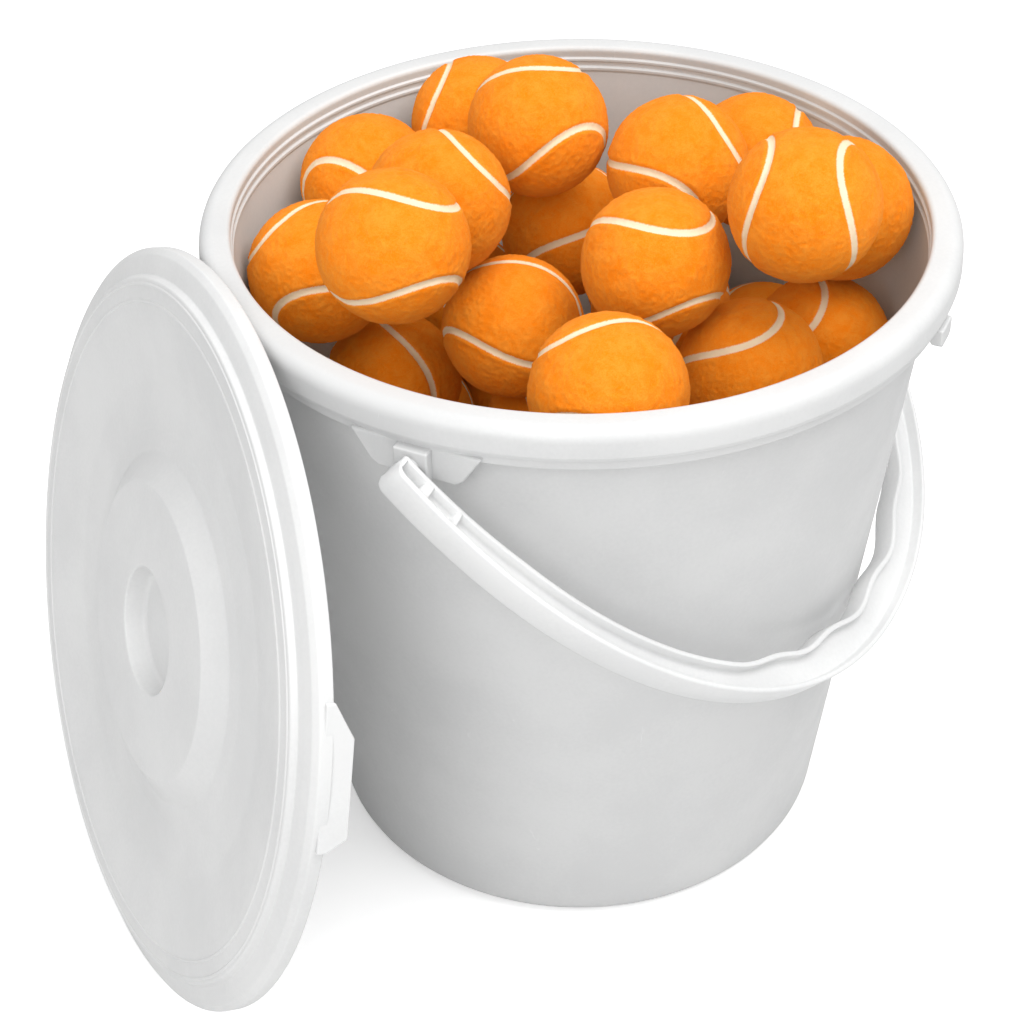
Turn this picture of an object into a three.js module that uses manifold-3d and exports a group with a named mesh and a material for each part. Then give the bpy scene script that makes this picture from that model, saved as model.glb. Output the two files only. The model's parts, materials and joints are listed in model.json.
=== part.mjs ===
import * as THREE from 'three';
import { mergeVertices } from 'three/addons/utils/BufferGeometryUtils.js';
import Module from 'manifold-3d';

// Bucket of tennis balls with a leaning lid and a hanging moulded handle.
// Millimetres, +Z up. The origin is the centre of the bucket's base on the floor.
// The lid leans on the bucket from the -X side.

// Driving sizes of the bucket
const bucketHeight = 323;
const rimRadius = 167;
const baseRadius = 121;
const wallThickness = 2.6;
const rimBandHeight = 15;
const rimLipHeight = 5;
const baseCornerRadius = 20;
const footRecess = 1.5;
const roundSegments = 60;

// Driving sizes of the ears that carry the handle
const earAzimuth = -140;
const earTopWidth = 56;
const earBottomWidth = 36;
const earDepthBelowLip = 13;
const pinDrop = 5;
const pinRadius = 4;
const rimTabWidth = 14;
const rimTabDrop = 6;

// Driving sizes of the handle
const handleReach = 220;
const handleBand = 14;
const handleEndDepth = 11.6;
const handleHeight = 15;
const handleWall = 2.4;
const gripExtra = 4;
const gripWaves = 4;
const gripWaveDepth = 1.6;

// Driving sizes of the lid
const lidWall = 2.4;
const lidDepth = 13;
const lidShoulderWidth = 12.5;
const lidRingWidth = 20;
const lidFaceHeight = 3;
const lidLeanAngle = 14.5;
const lidSideOffset = -8.5;
const bossRadius = 68;
const bossHeight = 12.5;
const dimpleRadius = 29;
const dimpleDepth = 10;
const lidTabClock = 16;
const lidTabWidth = 64;
const lidTabDepth = 9;

// Driving sizes of a ball
const ballRadius = 33;
const feltThickness = 3;
const rubberThickness = 3.4;

// Clearance left wherever two separate pieces meet
const gap = 0.4;

// Sizes that follow
const lipBottom = bucketHeight - rimBandHeight - rimLipHeight;
const bodyTopRadius = rimRadius - 11;
const wallSlope = (bodyTopRadius - baseRadius) / lipBottom;
const innerFloor = footRecess + wallThickness;
const pivotHeight = lipBottom - pinDrop;
const earFaceRadius = rimRadius + 2;
const handleInnerHalfWidth = earFaceRadius + gap + 2;
const handleHalfWidth = handleInnerHalfWidth + handleEndDepth;
const lidRadius = rimRadius + lidWall + 1.5 * gap;
const up = new THREE.Vector3(0, 0, 1);

const wasm = await Module();
wasm.setup();

const object = new THREE.Group();
object.name = 'ball_bucket';

function degrees(value) {
  return (value * Math.PI) / 180;
}

// Joins doubled corners and drops faces that have shrunk to a line.
function weld(geometry) {
  const bare = geometry.clone();
  bare.deleteAttribute('normal');
  bare.deleteAttribute('uv');
  const merged = mergeVertices(bare, 1e-4);
  const index = merged.index.array;
  const kept = [];
  for (let i = 0; i < index.length; i += 3) {
    const [a, b, c] = [index[i], index[i + 1], index[i + 2]];
    if (a !== b && b !== c && a !== c) {
      kept.push(a, b, c);
    }
  }
  merged.setIndex(kept);
  return merged;
}

// Six times the enclosed volume; positive where the faces point out.
function signedVolume(geometry) {
  const p = geometry.attributes.position;
  const index = geometry.index.array;
  const a = new THREE.Vector3();
  const b = new THREE.Vector3();
  const c = new THREE.Vector3();
  let total = 0;
  for (let i = 0; i < index.length; i += 3) {
    a.fromBufferAttribute(p, index[i]);
    b.fromBufferAttribute(p, index[i + 1]);
    c.fromBufferAttribute(p, index[i + 2]);
    total += a.dot(b.cross(c));
  }
  return total;
}

// Welds a closed surface and turns its faces outwards.
function closed(geometry) {
  const welded = weld(geometry);
  if (signedVolume(welded) < 0) {
    const index = Array.from(welded.index.array);
    for (let i = 0; i < index.length; i += 3) {
      [index[i], index[i + 1]] = [index[i + 1], index[i]];
    }
    welded.setIndex(index);
  }
  return welded;
}

function toManifold(geometry) {
  const g = closed(geometry);
  const mesh = new wasm.Mesh({
    numProp: 3,
    vertProperties: new Float32Array(g.attributes.position.array),
    triVerts: new Uint32Array(g.index.array),
  });
  return new wasm.Manifold(mesh);
}

function fromManifold(manifold) {
  const mesh = manifold.getMesh();
  const geometry = new THREE.BufferGeometry();
  const count = mesh.numProp;
  const positions = [];
  for (let i = 0; i < mesh.vertProperties.length; i += count) {
    positions.push(mesh.vertProperties[i], mesh.vertProperties[i + 1], mesh.vertProperties[i + 2]);
  }
  geometry.setAttribute('position', new THREE.Float32BufferAttribute(positions, 3));
  geometry.setIndex(Array.from(mesh.triVerts));
  return geometry;
}

// Turns a profile of [radius, height] points about the Z axis.
function turned(profile, segments) {
  const points = profile.map(([r, z]) => new THREE.Vector2(r, z));
  const geometry = new THREE.LatheGeometry(points, segments);
  geometry.rotateX(Math.PI / 2);
  return geometry;
}

// Points on an arc about (cx, cy) from one angle to another, ends included.
function arcPoints(cx, cy, radius, from, to, steps) {
  const points = [];
  for (let i = 0; i <= steps; i += 1) {
    const angle = degrees(from + ((to - from) * i) / steps);
    points.push([cx + radius * Math.cos(angle), cy + radius * Math.sin(angle)]);
  }
  return points;
}

function addPart(name, geometry, color, roughness) {
  const material = new THREE.MeshStandardMaterial({ color, roughness, metalness: 0 });
  const mesh = new THREE.Mesh(closed(geometry), material);
  mesh.name = name;
  object.add(mesh);
  return mesh;
}

function box(width, depth, height) {
  return new THREE.BoxGeometry(width, depth, height);
}

// Outer radius of the bucket's body at a height below the rim.
function bodyRadius(z) {
  return baseRadius + wallSlope * z;
}

function tubProfile() {
  const t = wallThickness;
  const corner = baseCornerRadius;
  const cornerCentre = bodyRadius(corner) - corner;
  const crest = bucketHeight;
  const innerTop = bodyTopRadius - t;
  const bandBottom = crest - rimBandHeight;
  const bead = (rimRadius - innerTop) / 2;
  return [
    [0, footRecess],
    [cornerCentre - 8, footRecess],
    [cornerCentre - 6, 0],
    ...arcPoints(cornerCentre, corner, corner, -90, -2, 4),
    [bodyTopRadius, lipBottom + 4],
    [rimRadius - 6, lipBottom + 4],
    [rimRadius - 5, lipBottom],
    [rimRadius - 2.6, lipBottom],
    [rimRadius - 1.8, bandBottom],
    [rimRadius, bandBottom + 1.5],
    ...arcPoints(rimRadius - bead, crest - bead * 0.75, bead, 25, 155, 5)
      .map(([r, z]) => [r, Math.min(z, crest)]),
    [innerTop + 0.2, crest - 6],
    [innerTop - 0.6, crest - 9],
    [innerTop - 0.6, crest - 12],
    [bodyRadius(lipBottom - 8) - t, lipBottom - 8],
    ...arcPoints(cornerCentre - 2, innerFloor + corner - t, corner - t + 2, -2, -90, 4),
    [0, innerFloor],
  ];
}

// A box-like ear block under the rim lip, wider above than below, bored for the handle's pin.
function earBlock() {
  const outline = new THREE.Shape();
  const top = lipBottom + 2;
  const bottom = lipBottom - earDepthBelowLip;
  outline.moveTo(-earTopWidth / 2, top);
  outline.lineTo(-earBottomWidth / 2 - 2, bottom + 3);
  outline.lineTo(-earBottomWidth / 2 + 2, bottom);
  outline.lineTo(earBottomWidth / 2 - 2, bottom);
  outline.lineTo(earBottomWidth / 2 + 2, bottom + 3);
  outline.lineTo(earTopWidth / 2, top);
  outline.closePath();
  const inside = bodyRadius(bottom) - wallThickness / 2;
  const block = new THREE.ExtrudeGeometry(outline, {
    depth: rimRadius - 3 - inside,
    bevelEnabled: false,
  });
  block.rotateX(Math.PI / 2);
  block.rotateZ(Math.PI / 2);
  block.translate(inside, 0, 0);
  return block;
}

// Raised square pad around the pin hole on the ear's outer face.
function earPad() {
  const side = 2 * pinRadius + 7;
  const pad = box(earFaceRadius - rimRadius + 8, side, side);
  pad.translate((earFaceRadius + rimRadius - 8) / 2, 0, pivotHeight);
  return pad;
}

function pinBore() {
  const bore = new THREE.CylinderGeometry(pinRadius + gap, pinRadius + gap, 60, 16);
  bore.rotateZ(Math.PI / 2);
  bore.translate(earFaceRadius, 0, pivotHeight);
  return bore;
}

// Keeps the ears' inner ends from standing inside the bucket.
function insideOfTub() {
  const t = wallThickness * 0.5;
  return turned(
    [
      [0, innerFloor],
      [bodyRadius(innerFloor) - t, innerFloor],
      [bodyRadius(lipBottom) - t, lipBottom],
      [bodyRadius(lipBottom) - t, lipBottom + 5],
      [0, lipBottom + 5],
    ],
    roundSegments,
  );
}

function rimTab() {
  const tab = box(3.4, rimTabWidth, rimTabDrop + 2);
  tab.translate(rimRadius - 0.6, 0, lipBottom + 2 - rimTabDrop / 2);
  return tab;
}

function tub() {
  let solid = toManifold(turned(tubProfile(), roundSegments));
  const inside = toManifold(insideOfTub());
  for (const azimuth of [earAzimuth, earAzimuth + 180]) {
    const turn = degrees(azimuth);
    const ear = toManifold(earBlock().rotateZ(turn))
      .add(toManifold(earPad().rotateZ(turn)))
      .subtract(inside);
    solid = solid.add(ear).subtract(toManifold(pinBore().rotateZ(turn)).subtract(inside));
  }
  for (const azimuth of [earAzimuth + 90, earAzimuth - 90]) {
    solid = solid.add(toManifold(rimTab().rotateZ(degrees(azimuth))));
  }
  return fromManifold(solid);
}

// Point on the handle's outer edge: across = along the pivot line, out = away from it.
function handleEdge(turn) {
  const bend = 0.95;
  const across = Math.sign(Math.cos(turn)) * Math.abs(Math.cos(turn)) ** bend;
  const out = Math.abs(Math.sin(turn)) ** bend;
  return new THREE.Vector2(handleHalfWidth * across, handleReach * out);
}

// How deep the band is, outer edge to inner edge, at a share 0..1 along the handle.
function bandDepth(share) {
  const fromMiddle = Math.abs(share - 0.5) * 2;
  const grip = THREE.MathUtils.smoothstep(0.42 - fromMiddle, 0, 0.16);
  const wave = Math.cos((share - 0.5) * 2 * Math.PI * gripWaves / 0.34);
  return handleEndDepth + (handleBand - handleEndDepth) * Math.min(1, (1 - fromMiddle) * 5)
    + grip * (gripExtra + gripWaveDepth * wave);
}

// H-shaped section as [depth from the outer edge, height] pairs.
function handleSection(depth) {
  const h = handleHeight / 2;
  const w = handleWall;
  const web = w / 2;
  return [
    [0, -h],
    [0, h],
    [w, h],
    [w, web],
    [depth - w, web],
    [depth - w, h - 1.5],
    [depth, h - 1.5],
    [depth, -h + 1.5],
    [depth - w, -h + 1.5],
    [depth - w, -web],
    [w, -web],
    [w, -h],
  ];
}

// The bow of the handle: its section carried round the half loop.
function handleBow() {
  const stations = 44;
  const centres = [];
  for (let i = 0; i <= stations; i += 1) {
    centres.push(handleEdge((Math.PI * i) / stations));
  }
  const positions = [];
  const size = handleSection(handleBand).length;
  for (let i = 0; i <= stations; i += 1) {
    const before = centres[Math.max(0, i - 1)];
    const after = centres[Math.min(stations, i + 1)];
    const along = after.clone().sub(before).normalize();
    if (i === 0 || i === stations) {
      along.set(0, i === 0 ? 1 : -1);
    }
    const inward = new THREE.Vector2(-along.y, along.x);
    for (const [depth, height] of handleSection(bandDepth(i / stations))) {
      positions.push(
        centres[i].x + inward.x * depth,
        centres[i].y + inward.y * depth,
        height,
      );
    }
  }
  const index = [];
  for (let i = 0; i < stations; i += 1) {
    for (let j = 0; j < size; j += 1) {
      const a = i * size + j;
      const b = i * size + ((j + 1) % size);
      index.push(a, b, a + size, b, b + size, a + size);
    }
  }
  const flat = handleSection(bandDepth(0)).map(([x, y]) => new THREE.Vector2(x, y));
  const last = stations * size;
  const outlineTurn = Math.sign(THREE.ShapeUtils.area(flat));
  for (const [a, b, c] of THREE.ShapeUtils.triangulateShape(flat, [])) {
    const faceTurn = Math.sign(THREE.ShapeUtils.area([flat[a], flat[b], flat[c]]));
    const [p, q] = faceTurn === outlineTurn ? [b, c] : [c, b];
    index.push(a, q, p);
    index.push(last + a, last + p, last + q);
  }
  const geometry = new THREE.BufferGeometry();
  geometry.setAttribute('position', new THREE.Float32BufferAttribute(positions, 3));
  geometry.setIndex(index);
  return geometry;
}

// Closed eye at an end of the handle, with its square pocket and the pin that enters the ear.
function handleEnd(side) {
  const depth = bandDepth(0);
  const middle = handleHalfWidth - depth / 2;
  const outline = new THREE.Shape();
  outline.moveTo(handleInnerHalfWidth, 12);
  outline.lineTo(handleInnerHalfWidth, -5);
  outline.lineTo(handleHalfWidth - 5, -5);
  outline.lineTo(handleHalfWidth - 1.5, -3.5);
  outline.lineTo(handleHalfWidth, 0);
  outline.lineTo(handleHalfWidth, 12);
  outline.closePath();
  const block = new THREE.ExtrudeGeometry(outline, { depth: handleHeight, bevelEnabled: false });
  block.translate(0, 0, -handleHeight / 2);
  const pocket = box(depth - 2 * handleWall, 10, handleHeight);
  pocket.translate(middle, 4, handleHeight / 2 + pinRadius);
  const rib = box(depth - 1, handleWall, handleHeight - 3);
  rib.translate(middle, 28, 0);
  const pin = new THREE.CylinderGeometry(pinRadius, pinRadius, 13, 16);
  pin.rotateZ(Math.PI / 2);
  pin.translate(handleInnerHalfWidth - 13 / 2 + 1, 0, 0);
  const solid = toManifold(block)
    .subtract(toManifold(pocket))
    .add(toManifold(rib))
    .add(toManifold(pin));
  return side > 0 ? solid : solid.rotate([0, 0, 180]).mirror([0, 1, 0]);
}

// Angle below level at which the grip's inner edge comes to rest on the bucket's body.
function handleHangAngle() {
  const reach = handleReach - bandDepth(0.5);
  const half = handleHeight / 2 - 1.5;
  let angle = 10;
  for (; angle < 85; angle += 0.05) {
    const a = degrees(angle);
    const out = reach * Math.cos(a) - half * Math.sin(a);
    const z = pivotHeight - reach * Math.sin(a) - half * Math.cos(a);
    if (out < bodyRadius(z) + 1.5 * gap) {
      break;
    }
  }
  return angle - 0.05;
}

function handle() {
  const solid = toManifold(handleBow()).add(handleEnd(1)).add(handleEnd(-1));
  const geometry = fromManifold(solid);
  const hang = degrees(handleHangAngle());
  const across = new THREE.Vector3(1, 0, 0).applyAxisAngle(up, degrees(earAzimuth));
  const level = new THREE.Vector3(1, 0, 0).applyAxisAngle(up, degrees(earAzimuth + 90));
  const out = level.multiplyScalar(Math.cos(hang)).addScaledVector(up, -Math.sin(hang));
  const face = across.clone().cross(out);
  const place = new THREE.Matrix4().makeBasis(across, out, face);
  place.setPosition(0, 0, pivotHeight);
  geometry.applyMatrix4(place);
  return geometry;
}

// Half profile of the lid, back edge of its skirt at height 0 and its outer face up: a raised
// ring near the edge, a sunk face inside it and a round boss with a dimple in the middle.
function lidProfile() {
  const t = lidWall;
  const top = lidDepth;
  const face = lidFaceHeight;
  const ringOuter = lidRadius - lidShoulderWidth;
  const ringInner = ringOuter - lidRingWidth;
  const bossTop = face + bossHeight;
  const dimpleFloor = bossTop - dimpleDepth;
  return [
    [0, dimpleFloor],
    [dimpleRadius - 2, dimpleFloor],
    [dimpleRadius, bossTop],
    [bossRadius - 1.5, bossTop],
    [bossRadius, bossTop - 1.5],
    [bossRadius + 5, face + 1],
    [bossRadius + 9, face],
    [ringInner - 7, face],
    [ringInner - 3, face + 2],
    [ringInner - 0.5, top - 1],
    [ringInner + 2, top],
    [ringOuter - 1.5, top],
    [ringOuter, top - 1.5],
    [ringOuter + 1.5, top - 3.6],
    [lidRadius - 6, top - 4.4],
    [lidRadius - 1.5, top - 6],
    [lidRadius, top - 8],
    [lidRadius, 0],
    [lidRadius - t, 0],
    [lidRadius - t, top - 8.6],
    [lidRadius - 7, top - 6.9],
    [ringOuter + 1, top - 6.1],
    [ringOuter - 1.5, top - t],
    [ringInner + 2, top - t],
    [ringInner - 0.5 + t, face + 1],
    [ringInner - 2, face - t],
    [bossRadius + 8, face - t],
    [bossRadius + 4 - t, face - t + 1],
    [bossRadius - t, bossTop - t],
    [dimpleRadius + t, bossTop - t],
    [dimpleRadius - 2 + t, dimpleFloor - t],
    [0, dimpleFloor - t],
  ];
}

// Thumb tab that deepens the skirt over a short stretch.
function lidTab(clock) {
  const outline = new THREE.Shape();
  outline.moveTo(-lidTabWidth / 2, 4);
  outline.lineTo(-lidTabWidth / 2, 0);
  outline.lineTo(-lidTabWidth / 2 + 5, -lidTabDepth);
  outline.lineTo(lidTabWidth / 2 - 16, -lidTabDepth);
  outline.lineTo(lidTabWidth / 2, 0);
  outline.lineTo(lidTabWidth / 2, 4);
  outline.closePath();
  const tab = new THREE.ExtrudeGeometry(outline, { depth: lidWall, bevelEnabled: false });
  tab.rotateX(Math.PI / 2);
  tab.rotateZ(Math.PI / 2);
  tab.translate(lidRadius - lidWall - 1, 0, 0);
  tab.rotateZ(degrees(clock));
  return tab;
}

// Stands the lid on the floor and leans it on the rim of the bucket.
function lid() {
  const solid = toManifold(turned(lidProfile(), roundSegments)).add(toManifold(lidTab(lidTabClock)));
  const geometry = fromManifold(solid);
  const lean = degrees(lidLeanAngle);
  const normal = new THREE.Vector3(-Math.cos(lean), 0, Math.sin(lean));
  const side = new THREE.Vector3(0, -1, 0);
  const rise = normal.clone().cross(side);
  const centreHeight = lidRadius * Math.cos(lean);
  // A rim below the lid's skirt tucks into the lid; a taller one carries the skirt's top.
  const tucks = bucketHeight < 2 * centreHeight - lidWall;
  const rimContact = tucks ? bucketHeight - rimBandHeight * 0.85 : Math.min(bucketHeight, 2 * centreHeight);
  const away = rimRadius + gap / Math.cos(lean)
    + (rimContact - centreHeight) * Math.tan(lean);
  const place = new THREE.Matrix4().makeBasis(side, rise, normal);
  place.setPosition(-away, lidSideOffset, centreHeight);
  geometry.applyMatrix4(place);
  return geometry;
}

// Balls that show in the heap: azimuth in degrees, share of the rim radius, centre height
// measured from the rim in ball radii.
const heap = [
  ['front', -111.2, 0.711, -0.48],
  ['middle_front', -76.7, 0.3, -0.14],
  ['left_high', -165.5, 0.61, 0.65],
  ['back', 82.2, 0.348, 0.3],
  ['right_high', -53.9, 0.624, 0.88],
  ['back_right_low', 11.5, 0.336, -0.02],
  ['middle_back', 66.8, 0.466, -1.78],
  ['middle_low', 178.5, 0.189, -1.63],
  ['left_low', 147.3, 0.543, -3.18],
  ['left', 153.1, 0.699, -1.01],
  ['back_left_high', 87.5, 0.71, -0.53],
  ['left_back_high', 120.2, 0.703, -0.75],
  ['back_left_low', 157.4, 0.368, 0.11],
  ['back_right', 18.6, 0.705, -0.75],
  ['right_back', -17.9, 0.707, -0.36],
  ['right_low', -22.2, 0.669, -2.36],
  ['front_right', -57.0, 0.522, -1.77],
];

// Buried balls, floor layer first: how many stand in the ring and the turn of the ring,
// then how many in the middle.
const layers = [
  [7, 0, 1],
  [8, 22, 1],
  [8, 0, 2],
  [7, 46, 2],
];

// Where each ball's centre may be: inside the wall and above the floor.
function holdInside(centre) {
  const lowest = innerFloor + ballRadius + 2 * gap;
  if (centre.z < lowest) {
    centre.z = lowest;
  }
  const z = Math.min(centre.z, bucketHeight);
  const lean = Math.sqrt(1 + wallSlope * wallSlope);
  const room = bodyRadius(z) - wallThickness - 1 - (ballRadius + 2 * gap) * lean;
  const out = Math.hypot(centre.x, centre.y);
  if (out > room) {
    centre.x *= room / out;
    centre.y *= room / out;
  }
}

function startCentres() {
  const centres = [];
  for (const [name, azimuth, share, rise] of heap) {
    const a = degrees(azimuth);
    const out = share * rimRadius;
    const z = bucketHeight + rise * ballRadius;
    centres.push({ name, buried: false, at: new THREE.Vector3(out * Math.cos(a), out * Math.sin(a), z) });
  }
  layers.forEach(([ring, turn, middle], layer) => {
    const z = innerFloor + ballRadius * (1.05 + 1.7 * layer);
    const out = bodyRadius(z) - ballRadius - 2 * wallThickness;
    for (let i = 0; i < ring; i += 1) {
      const a = degrees(turn + (360 * i) / ring);
      const at = new THREE.Vector3(out * Math.cos(a), out * Math.sin(a), z);
      centres.push({ name: `layer${layer + 1}_ring${i + 1}`, buried: true, at });
    }
    for (let i = 0; i < middle; i += 1) {
      const at = new THREE.Vector3(3 * layer, 2 * layer, z);
      centres.push({ name: `layer${layer + 1}_middle${i + 1}`, buried: true, at });
    }
  });
  return centres;
}

// Pushes overlapping balls apart until none touch and all are inside the bucket.
function settledBalls() {
  const balls = startCentres();
  const apart = 2 * ballRadius + 2 * gap;
  const step = new THREE.Vector3();
  for (let round = 0; round < 3000; round += 1) {
    let worst = 0;
    for (let i = 0; i < balls.length; i += 1) {
      for (let j = i + 1; j < balls.length; j += 1) {
        step.copy(balls[j].at).sub(balls[i].at);
        const distance = step.length();
        if (distance < apart) {
          const push = (apart - distance) * 0.5;
          worst = Math.max(worst, push);
          step.multiplyScalar(push / distance);
          let share = 1;
          if (balls[i].buried !== balls[j].buried) {
            share = balls[i].buried ? 1.9 : 0.1;
          }
          balls[i].at.addScaledVector(step, -share);
          balls[j].at.addScaledVector(step, 2 - share);
        }
      }
    }
    for (const ball of balls) {
      holdInside(ball.at);
    }
    if (worst < gap / 8) {
      break;
    }
  }
  return balls;
}

function plainBall(detail) {
  return new THREE.IcosahedronGeometry(ballRadius, detail);
}

// The closed seam line of a ball of radius 1.
function seamPoint(turn) {
  const a = 0.72;
  const b = 0.28;
  return new THREE.Vector3(
    a * Math.cos(turn) + b * Math.cos(3 * turn),
    a * Math.sin(turn) - b * Math.sin(3 * turn),
    2 * Math.sqrt(a * b) * Math.sin(2 * turn),
  ).normalize();
}

// A thin ribbon standing on the seam line, used to part the felt.
function seamRibbon() {
  const steps = 40;
  const low = ballRadius - feltThickness - 2;
  const high = ballRadius + 2;
  const positions = [];
  const index = [];
  for (let i = 0; i < steps; i += 1) {
    const here = seamPoint((2 * Math.PI * i) / steps);
    const next = seamPoint((2 * Math.PI * (i + 0.5)) / steps);
    const last = seamPoint((2 * Math.PI * (i - 0.5)) / steps);
    const side = next.sub(last).cross(here).normalize();
    for (const [radius, shift] of [[low, -gap], [high, -gap], [high, gap], [low, gap]]) {
      const corner = here.clone().multiplyScalar(radius).addScaledVector(side, shift);
      positions.push(corner.x, corner.y, corner.z);
    }
    for (let j = 0; j < 4; j += 1) {
      const a = i * 4 + j;
      const b = i * 4 + ((j + 1) % 4);
      const c = ((i + 1) % steps) * 4 + j;
      const d = ((i + 1) % steps) * 4 + ((j + 1) % 4);
      index.push(a, b, c, b, d, c);
    }
  }
  const geometry = new THREE.BufferGeometry();
  geometry.setAttribute('position', new THREE.Float32BufferAttribute(positions, 3));
  geometry.setIndex(index);
  return geometry;
}

// Splits a surface into its separate closed bodies.
function separateBodies(geometry) {
  const index = geometry.index.array;
  const count = geometry.attributes.position.count;
  const group = Array.from({ length: count }, (_, i) => i);
  const find = (i) => {
    let root = i;
    while (group[root] !== root) {
      root = group[root];
    }
    return root;
  };
  for (let i = 0; i < index.length; i += 3) {
    const root = find(index[i]);
    group[find(index[i + 1])] = root;
    group[find(index[i + 2])] = root;
  }
  const bodies = new Map();
  for (let i = 0; i < index.length; i += 3) {
    const root = find(index[i]);
    if (!bodies.has(root)) {
      bodies.set(root, []);
    }
    bodies.get(root).push(index[i], index[i + 1], index[i + 2]);
  }
  return [...bodies.values()].map((faces) => {
    const body = new THREE.BufferGeometry();
    body.setAttribute('position', geometry.attributes.position.clone());
    body.setIndex(faces);
    return body.toNonIndexed();
  });
}

// The two dumbbell-shaped felt panels that wrap one ball.
function feltPanels() {
  const outer = toManifold(plainBall(3));
  const inner = toManifold(new THREE.IcosahedronGeometry(ballRadius - feltThickness, 3));
  const shell = outer.subtract(inner).subtract(toManifold(seamRibbon()));
  return separateBodies(fromManifold(shell));
}

// One of the two rubber cups that are bonded into a hollow core.
function coreHalf(side) {
  const outside = ballRadius - feltThickness - 2 * gap;
  const inside = outside - rubberThickness;
  const outerArc = arcPoints(0, 0, outside, 0, 90, 5).map(([r, z]) => [r, z + gap / 2]);
  const innerArc = arcPoints(0, 0, inside, 90, 0, 5).map(([r, z]) => [r, z + gap / 2]);
  const profile = [...outerArc, ...innerArc, outerArc[0]];
  const onAxis = profile.map(([r, z]) => [Math.abs(r) < 1e-6 ? 0 : r, z]);
  const cup = turned(onAxis, 20);
  if (side < 0) {
    cup.rotateX(Math.PI);
  }
  return cup;
}

const plasticWhite = 0xe9eae8;
const feltOrange = 0xf57c12;
const rubberOrange = 0xd9691e;

addPart('bucket', tub(), plasticWhite, 0.45);
addPart('handle', handle(), plasticWhite, 0.45);
addPart('lid', lid(), plasticWhite, 0.45);

for (const ball of settledBalls()) {
  const { x, y, z } = ball.at;
  if (ball.name === 'front') {
    feltPanels().forEach((panel, i) => {
      addPart(`ball_front_felt_${'ab'[i]}`, panel.translate(x, y, z), feltOrange, 0.95);
    });
    addPart('ball_front_core_upper', coreHalf(1).translate(x, y, z), rubberOrange, 0.8);
    addPart('ball_front_core_lower', coreHalf(-1).translate(x, y, z), rubberOrange, 0.8);
  } else {
    const solid = plainBall(ball.buried ? 1 : 2).translate(x, y, z);
    addPart(`ball_${ball.name}`, solid, feltOrange, 0.95);
  }
}

export default object;
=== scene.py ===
import math
import bmesh
import bpy
import numpy as np
from mathutils import Matrix, Vector
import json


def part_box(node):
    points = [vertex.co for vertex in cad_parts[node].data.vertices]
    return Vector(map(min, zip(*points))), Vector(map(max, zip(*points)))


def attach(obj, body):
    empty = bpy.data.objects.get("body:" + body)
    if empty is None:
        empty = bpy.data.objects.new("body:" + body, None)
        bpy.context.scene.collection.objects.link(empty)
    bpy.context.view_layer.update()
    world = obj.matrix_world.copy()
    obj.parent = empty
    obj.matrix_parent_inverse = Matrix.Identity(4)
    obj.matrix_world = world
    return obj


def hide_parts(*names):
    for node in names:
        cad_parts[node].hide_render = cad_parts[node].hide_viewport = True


# Bucket of tennis balls with a leaning lid and a swinging handle.
# Lengths in the pieces' dictionaries are millimetres. The scene, studio and eye are in metres.

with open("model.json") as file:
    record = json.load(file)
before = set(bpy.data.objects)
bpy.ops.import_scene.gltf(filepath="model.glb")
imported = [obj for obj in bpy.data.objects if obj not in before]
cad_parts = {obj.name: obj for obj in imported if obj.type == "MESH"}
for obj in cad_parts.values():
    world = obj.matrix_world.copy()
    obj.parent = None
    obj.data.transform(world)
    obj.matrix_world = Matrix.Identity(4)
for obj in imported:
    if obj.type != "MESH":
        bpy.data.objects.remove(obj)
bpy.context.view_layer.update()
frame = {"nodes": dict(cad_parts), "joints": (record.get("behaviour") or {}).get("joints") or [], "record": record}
mm = 0.001
joints = {joint["name"]: joint for joint in frame["joints"]}
bodies = frame["record"]["behaviour"]["bodies"]
print("frame loaded:", len(frame["nodes"]), "nodes")


def unit(v):
    # v / |v|
    return np.asarray(v, float) / np.linalg.norm(v)


def smoothStep(x, low, high):
    # t^2 (3 - 2t), t = (x - low) / (high - low) held between 0 and 1
    t = np.clip((x - low) / (high - low), 0, 1)
    return t * t * (3 - 2 * t)


def valueNoise(points, cell, seed):
    # random values on a cubic lattice of the given cell, blended with smooth steps; range -1..1
    p = points / cell + seed * 17.3
    base = np.floor(p).astype(np.int64)
    f = p - base
    f = f * f * (3 - 2 * f)
    total = np.zeros(len(points))
    for corner in np.ndindex(2, 2, 2):
        k = base + np.array(corner)
        h = (k[:, 0] * 374761393 + k[:, 1] * 668265263 + k[:, 2] * 2147483647 + seed * 974711) & 0xFFFFFFFF
        h = ((h ^ (h >> 13)) * 1274126177) & 0xFFFFFFFF
        value = ((h ^ (h >> 16)) & 0xFFFF) / 32767.5 - 1
        weight = np.prod(np.where(np.array(corner) == 1, f, 1 - f), axis=1)
        total += value * weight
    return total


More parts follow.
